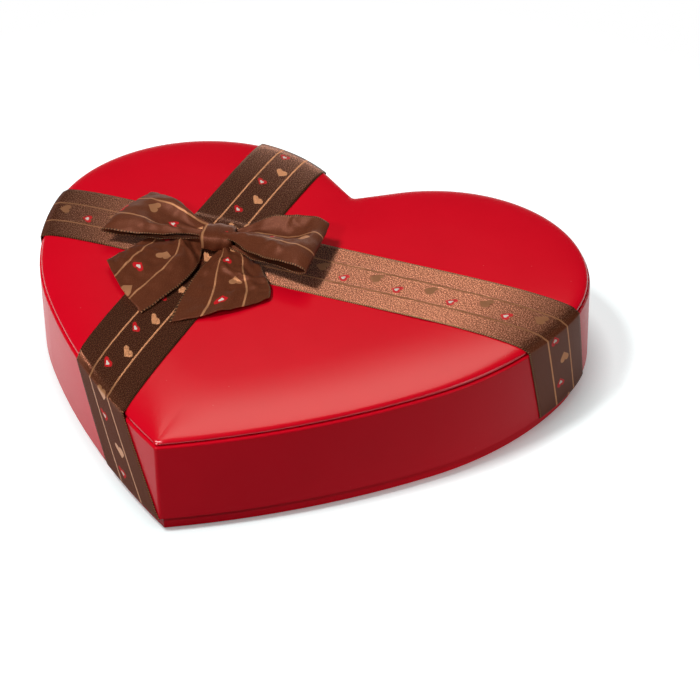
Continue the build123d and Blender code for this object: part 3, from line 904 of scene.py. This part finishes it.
bow_pieces = []
tails = (("left", left_tail_sections, 0.6), ("right", right_tail_sections, 2.2))
for side, sections, phase in tails:
    grid, fine, over = ribbon_surface(sections, rows=84)
    gather = np.exp(-fine / TAIL_GATHER) * np.clip(fine / TAIL_EASE, 0, 1)
    pleat(grid, gather, over, depth=0.9, count=3.0, phase=phase)
    crumple(grid, fine, over, tail_creases[side], unrest=0.30)
    tail = lay_ribbon(
        f"bow_tail_{side}_ribbon", grid, fine, over, bow_satin, f"bow_tail_{side}",
        start=5.0,
    )
    bow_pieces.append(tail)


# Loops of the bow: each is one length of the ribbon taken out from the knot, turned back in a
# soft fold and brought home, gathered small under the knot, so that its upper run is cupped.
LOOP_GATHER = 15.0

right_loop_sections = (
    ((-36.0, 18.5, 55.6), (-36.0, 20.5, 55.2), (-36.0, 22.7, 55.0),
     (-36.0, 25.0, 55.2), (-36.0, 27.0, 55.6)),
    ((-26.0, 16.0, 56.0), (-26.0, 19.5, 55.4), (-26.0, 22.8, 55.2),
     (-26.0, 26.0, 55.4), (-26.0, 30.0, 56.0)),
    ((-14.0, 10.5, 57.4), (-14.0, 17.0, 56.6), (-14.0, 23.2, 56.2),
     (-14.2, 29.0, 56.4), (-14.5, 37.0, 58.0)),
    ((1.0, 7.0, 59.4), (0.5, 16.5, 58.6), (0.0, 23.5, 58.2),
     (-0.5, 30.5, 58.2), (-1.5, 41.0, 59.4)),
    ((13.0, 4.8, 60.4), (11.8, 16.0, 60.7), (10.8, 23.5, 60.5),
     (9.6, 31.0, 60.2), (7.6, 42.4, 60.6)),
    ((14.3, 4.5, 61.9), (13.0, 16.0, 63.0), (11.8, 23.5, 62.7),
     (10.6, 31.0, 62.2), (8.6, 42.5, 62.3)),
    ((12.2, 4.5, 63.3), (10.6, 16.2, 65.4), (9.4, 23.7, 64.8),
     (8.2, 31.5, 63.9), (6.6, 42.4, 64.2)),
    ((1.5, 5.2, 63.6), (0.5, 17.0, 66.0), (0.0, 24.0, 63.4),
     (-0.8, 31.0, 60.6), (-1.5, 42.0, 64.8)),
    ((-10.0, 8.0, 61.8), (-10.0, 18.5, 65.2), (-10.5, 24.0, 62.0),
     (-11.0, 30.0, 58.6), (-11.0, 40.0, 64.2)),
    ((-20.5, 13.0, 60.0), (-20.0, 20.5, 63.2), (-20.5, 24.0, 61.0),
     (-21.0, 28.0, 58.6), (-21.0, 36.5, 61.7)),
    ((-28.0, 17.0, 60.0), (-28.5, 20.5, 61.3), (-29.0, 22.7, 59.6),
     (-29.5, 25.0, 57.6), (-29.5, 29.0, 58.4)),
    ((-36.0, 18.0, 58.0), (-36.0, 20.5, 58.8), (-36.0, 22.7, 58.4),
     (-36.0, 25.0, 57.6), (-36.0, 27.5, 57.6)),
)
left_loop_sections = (
    ((-41.0, 18.5, 55.6), (-41.0, 20.5, 55.2), (-41.0, 22.7, 55.0),
     (-41.0, 25.0, 55.2), (-41.0, 27.0, 55.6)),
    ((-50.0, 16.0, 55.8), (-50.0, 19.5, 55.3), (-50.0, 22.8, 55.1),
     (-50.0, 26.0, 55.3), (-50.0, 30.0, 55.8)),
    ((-60.0, 11.5, 56.0), (-60.0, 17.5, 55.6), (-60.0, 23.0, 55.4),
     (-60.0, 28.5, 55.6), (-60.0, 35.0, 56.0)),
    ((-72.0, 8.5, 56.3), (-72.0, 17.0, 56.2), (-72.0, 23.5, 56.0),
     (-72.0, 30.0, 56.2), (-72.0, 38.5, 56.4)),
    ((-86.6, 6.0, 56.5), (-84.8, 16.6, 57.8), (-83.4, 24.0, 57.9),
     (-81.8, 31.5, 57.5), (-80.2, 40.5, 56.7)),
    ((-88.0, 5.6, 57.4), (-86.2, 16.6, 59.5), (-84.7, 24.0, 59.8),
     (-83.0, 31.5, 59.2), (-81.4, 40.8, 57.9)),
    ((-85.6, 5.6, 58.5), (-83.6, 16.4, 61.2), (-82.0, 24.0, 61.5),
     (-80.4, 31.5, 60.8), (-78.8, 40.4, 59.1)),
    ((-75.0, 6.5, 58.8), (-75.0, 16.5, 62.2), (-74.5, 24.0, 61.6),
     (-74.0, 31.0, 62.3), (-74.0, 39.6, 59.6)),
    ((-65.0, 9.0, 59.0), (-66.0, 17.0, 60.0), (-66.0, 24.0, 59.2),
     (-65.5, 31.0, 62.0), (-66.0, 38.0, 59.6)),
    ((-56.0, 12.5, 58.9), (-57.0, 17.5, 59.2), (-57.0, 23.0, 58.2),
     (-56.5, 29.5, 60.0), (-57.0, 33.5, 57.8)),
    ((-48.0, 16.0, 58.6), (-48.0, 19.5, 58.6), (-48.0, 22.5, 57.6),
     (-48.5, 26.5, 58.9), (-48.5, 29.5, 57.2)),
    ((-41.0, 17.5, 57.0), (-41.0, 20.0, 58.3), (-41.0, 22.5, 57.6),
     (-41.0, 25.0, 58.4), (-41.0, 28.0, 57.0)),
)
# Creases in the upper run of each loop, given as those of the tails are
loop_creases = {
    "left": (
        (60.0, -12.0, 75.0, -6.0, 0.6, 1.8),
        (68.0, 3.0, 92.0, 2.0, -0.8, 2.4),
        (63.0, 12.0, 80.0, 7.0, 0.6, 1.8),
        (82.0, -6.0, 98.0, -3.0, 0.6, 1.4),
        (82.0, 9.0, 98.0, 4.0, 0.6, 1.4),
        (66.0, -4.0, 78.0, -14.0, 0.5, 1.5),
    ),
    "right": (
        (60.0, 11.0, 69.0, 16.0, 0.7, 1.6),
        (66.0, 4.0, 94.0, 3.0, -0.9, 2.2),
        (66.0, -12.0, 88.0, -7.0, 0.6, 2.2),
        (86.0, -9.0, 102.0, -4.0, 0.6, 1.4),
        (84.0, 11.0, 101.0, 5.0, 0.6, 1.4),
        (62.0, -3.0, 74.0, -15.0, 0.5, 1.6),
    ),
}
loops = (("left", left_loop_sections, 0.4), ("right", right_loop_sections, 1.4))
for side, sections, phase in loops:
    grid, fine, over = ribbon_surface(sections, rows=170)
    home = np.minimum(fine, fine[-1] - fine)
    pleat(grid, np.exp(-home / LOOP_GATHER), over, depth=1.4, count=4.0, phase=phase)
    crumple(grid, fine, over, loop_creases[side], unrest=0.20)
    loop = lay_ribbon(
        f"bow_loop_{side}_ribbon", grid, fine, over, bow_satin, f"bow_loop_{side}",
        start=3.0,
    )
    bow_pieces.append(loop)


# Knot of the bow: the middle of the ribbon folded to a third of its width and drawn once round
# the loops, with its ends glued underneath. The folds leave a few lengthwise creases.
KNOT_MIDDLE = (-36.9, 22.0, 56.4)
KNOT_TURN = 14.0
KNOT_HALF_WIDTH = 7.6
KNOT_HALF_LENGTH = 7.4
KNOT_HALF_HEIGHT = 4.4
KNOT_CORNER = 0.72
# The stretch of the ribbon's width that the folded band shows: its middle and half its width
KNOT_ACROSS = 12.1
KNOT_SHOWN = 5.9

round_steps = np.linspace(0, 2 * math.pi, 73)
over = np.linspace(-1, 1, 29)
turn, place = np.meshgrid(round_steps, over, indexing="ij")
drawn = 1 - 0.10 * place**2 - 0.16 * np.abs(place) ** 8
crease = 0.22 * np.cos(place * 7.5 + 0.5 * np.sin(turn * 2)) * (1 - place**4)
radius_y = KNOT_HALF_LENGTH * drawn + crease
radius_z = KNOT_HALF_HEIGHT * drawn + crease
local_x = place * KNOT_HALF_WIDTH + 0.25 * np.sin(turn * 3 + place * 2)
local_y = np.sign(np.cos(turn)) * np.abs(np.cos(turn)) ** KNOT_CORNER * radius_y
local_z = np.sign(np.sin(turn)) * np.abs(np.sin(turn)) ** KNOT_CORNER * radius_z
spin = math.radians(KNOT_TURN)
grid = np.stack(
    (
        KNOT_MIDDLE[0] + local_x * math.cos(spin) - local_y * math.sin(spin),
        KNOT_MIDDLE[1] + local_x * math.sin(spin) + local_y * math.cos(spin),
        KNOT_MIDDLE[2] + local_z,
    ),
    axis=-1,
)
knot = lay_ribbon(
    "bow_knot_band", grid, run_length(grid), over * KNOT_SHOWN + KNOT_ACROSS, bow_satin, "bow_knot",
)


# Stage: a white sweep under and behind the box. The camera and reflections see it lit by a lamp,
# so that it keeps the box's shadow, over a glow that is dimmed next to the box as a painted
# contact shadow, and plain white further out. To the faces of the box it gives back a warm light,
# more on the left and on the middle of the right side.
SWEEP_SIZE = 16.0
SWEEP_PAINT = (0.90, 1.0, 1.0, 1)
SWEEP_GLOW = (0.955, 1, 1, 1)
BOUNCE_WARM = (1, 0.96, 0.88, 1)
PLAIN_WHITE = (1, 1, 1, 1)
CONTACT_REACH = 0.016
CONTACT_DARKNESS = 1.4
GLOW_LEAST = 0.09
GLOW_MORE = 0.71
# Distances from the box's middle between which the lit sweep turns plain white
LIT_WITHIN = 0.20
WHITE_BEYOND = 0.36

bpy.ops.object.select_all(action="DESELECT")
bpy.ops.mesh.primitive_plane_add(size=SWEEP_SIZE, location=(0, 0, 0))
floor = bpy.context.active_object
floor.name = "floor"
sweep, tree, shader = new_finish("white_sweep")
tree.nodes.remove(shader)
place = put(tree, "ShaderNodeTexCoord").outputs["Object"]

paint = put(tree, "ShaderNodeBsdfDiffuse", {"Color": SWEEP_PAINT}).outputs[0]
# Painted contact shadow: the sweep's glow is dimmed by ambient occlusion where the box stands near
contact = put(tree, "ShaderNodeAmbientOcclusion", {"Distance": CONTACT_REACH}, samples=12)
painted_contact_shade = reckon(tree, "POWER", contact.outputs["AO"], CONTACT_DARKNESS)
glow_with_painted_shade = reckon(tree, "MULTIPLY_ADD", painted_contact_shade, GLOW_MORE, GLOW_LEAST)
glow = put(tree, "ShaderNodeEmission", {"Color": SWEEP_GLOW, "Strength": glow_with_painted_shade}).outputs[0]
lit = put(tree, "ShaderNodeAddShader", {0: paint, 1: glow}).outputs[0]
white = put(tree, "ShaderNodeEmission", {"Color": PLAIN_WHITE, "Strength": 1.0}).outputs[0]
far = put(tree, "ShaderNodeVectorMath", {0: place}, operation="LENGTH").outputs["Value"]
fade = ramp(tree, far, LIT_WITHIN, WHITE_BEYOND)
seen = put(tree, "ShaderNodeMixShader", {0: fade, 1: lit, 2: white}).outputs[0]

spot = put(tree, "ShaderNodeSeparateXYZ", {"Vector": place})
leftward = ramp(tree, spot.outputs[0], 0.02, -0.15, 0.0, 0.72)
rightward = ramp(tree, spot.outputs[1], -0.11, -0.03, 0.02, 0.32)
dimmed = ramp(tree, spot.outputs[1], 0.0, 0.035, 1.0, 0.38)
right_light = reckon(tree, "MULTIPLY", rightward, dimmed)
returned = reckon(tree, "MAXIMUM", leftward, right_light)
bounce = put(tree, "ShaderNodeEmission", {"Color": BOUNCE_WARM, "Strength": returned}).outputs[0]

ray = put(tree, "ShaderNodeLightPath").outputs
looks = reckon(tree, "MAXIMUM", ray["Is Camera Ray"], ray["Is Transmission Ray"])
looks = reckon(tree, "MAXIMUM", looks, ray["Is Glossy Ray"])
whole = put(tree, "ShaderNodeMixShader", {0: looks, 1: bounce, 2: seen}).outputs[0]
tree.links.new(whole, tree.nodes["Material Output"].inputs["Surface"])
floor.data.materials.append(sweep)


# World: white where the camera looks past the sweep, also through a clear piece. To reflections
# and to the faces of the box it is a dark studio, with some haze low down behind, so that the
# red keeps its dark reflections.
HAZE_LEAST = 0.012
HAZE_LOW_DOWN = 0.28

world = bpy.data.worlds.new("studio")
bpy.context.scene.world = world
world.use_nodes = True
tree = world.node_tree
heading = put(tree, "ShaderNodeTexCoord").outputs["Generated"]
aim = put(tree, "ShaderNodeSeparateXYZ", {"Vector": heading})
low = ramp(tree, aim.outputs[2], 0.0, 0.24, HAZE_LOW_DOWN, 0.0)
behind = ramp(tree, aim.outputs[1], -0.1, 0.5)
haze = reckon(tree, "MULTIPLY_ADD", low, behind, HAZE_LEAST)
dim = put(tree, "ShaderNodeBackground", {"Color": PLAIN_WHITE, "Strength": haze}).outputs[0]
bright = put(tree, "ShaderNodeBackground", {"Color": PLAIN_WHITE, "Strength": 1.0}).outputs[0]
ray = put(tree, "ShaderNodeLightPath").outputs
looks = reckon(tree, "MAXIMUM", ray["Is Camera Ray"], ray["Is Transmission Ray"])
whole = put(tree, "ShaderNodeMixShader", {0: looks, 1: dim, 2: bright}).outputs[0]
tree.links.new(whole, tree.nodes["World Output"].inputs["Surface"])


# Lamps: soft area lamps on stands round the box. The sweep is lit by the left softbox alone, so
# that the box has one shadow on it. The top softbox is flagged off the ribbon, which would
# glare, and a low strip behind lights the ribbon alone.
BOX_MIDDLE = (0, 0, 0.03)
RIBBON_MIDDLE = (0, 0, 0.05)
LAMP_WHITE = (1, 1, 1)


def lamp(name, place, power, size, colour=LAMP_WHITE, aim=BOX_MIDDLE):
    """A rectangular studio lamp turned towards a point."""
    data = bpy.data.lights.new(name, "AREA")
    data.energy = power
    data.color = colour
    data.shape = "RECTANGLE"
    data.size, data.size_y = size
    made = bpy.data.objects.new(name, data)
    made.location = place
    made.rotation_mode = "QUATERNION"
    made.rotation_quaternion = (Vector(aim) - Vector(place)).to_track_quat("-Z", "Y")
    bpy.context.scene.collection.objects.link(made)
    return made


front_lamp = lamp("front_lamp", (-0.03, -1.155, 0.99), power=4.8, size=(0.10, 0.10))
lamp("left_softbox", (-0.54, -0.69, 1.75), power=22.6, size=(0.36, 0.36))
top_softbox = lamp(
    "top_softbox", (-0.14, 0.59, 1.19), power=4.9, size=(0.76, 0.84), colour=(1, 0.93, 0.79)
)
right_fill = lamp("right_fill", (1.20, -0.12, 0.35), power=2.5, size=(0.50, 0.40))
back_strip = lamp(
    "back_strip", (-0.36, 1.14, 0.24), power=2.6, size=(0.90, 0.14), colour=(1, 0.90, 0.78),
    aim=RIBBON_MIDDLE,
)

ribbon_pieces = (strap_across, strap_lengthwise, knot, *bow_pieces)
off_floor = bpy.data.collections.new("lamps_off_floor")
off_floor.objects.link(floor)
off_ribbon = bpy.data.collections.new("lamp_off_ribbon")
for flagged in (floor, *ribbon_pieces):
    off_ribbon.objects.link(flagged)
for shaded in (off_floor, off_ribbon):
    for entry in shaded.collection_objects:
        entry.light_linking.link_state = "EXCLUDE"
on_ribbon = bpy.data.collections.new("lamp_on_ribbon")
for lit_piece in ribbon_pieces:
    on_ribbon.objects.link(lit_piece)
for source in (front_lamp, right_fill):
    source.light_linking.receiver_collection = off_floor
back_strip.light_linking.receiver_collection = on_ribbon
top_softbox.light_linking.receiver_collection = off_ribbon


# Camera at the photograph's place: a long lens from the front and above, a little to the right,
# and turned slightly about its own axis.
AZIMUTH = math.radians(24.39)
ELEVATION = math.radians(35.78)
ROLL = math.radians(1.03)
CAMERA_PLACE = (0.45656, -0.92514, 0.76093)
SENSOR_WIDTH = 36.0
LENS = 145.4

back = Vector(
    (
        math.sin(AZIMUTH) * math.cos(ELEVATION),
        -math.cos(AZIMUTH) * math.cos(ELEVATION),
        math.sin(ELEVATION),
    )
)
level = Vector((math.cos(AZIMUTH), math.sin(AZIMUTH), 0.0))
upward = back.cross(level)
side_axis = level * math.cos(ROLL) - upward * math.sin(ROLL)
up_axis = level * math.sin(ROLL) + upward * math.cos(ROLL)
camera_data = bpy.data.cameras.new("photo_camera")
camera_data.sensor_width = SENSOR_WIDTH
camera_data.lens = LENS
camera = bpy.data.objects.new("photo_camera", camera_data)
bpy.context.scene.collection.objects.link(camera)
turned = Matrix((side_axis, up_axis, back)).transposed().to_4x4()
camera.matrix_world = Matrix.Translation(CAMERA_PLACE) @ turned
bpy.context.scene.camera = camera
bpy.context.scene.view_settings.view_transform = "Standard"
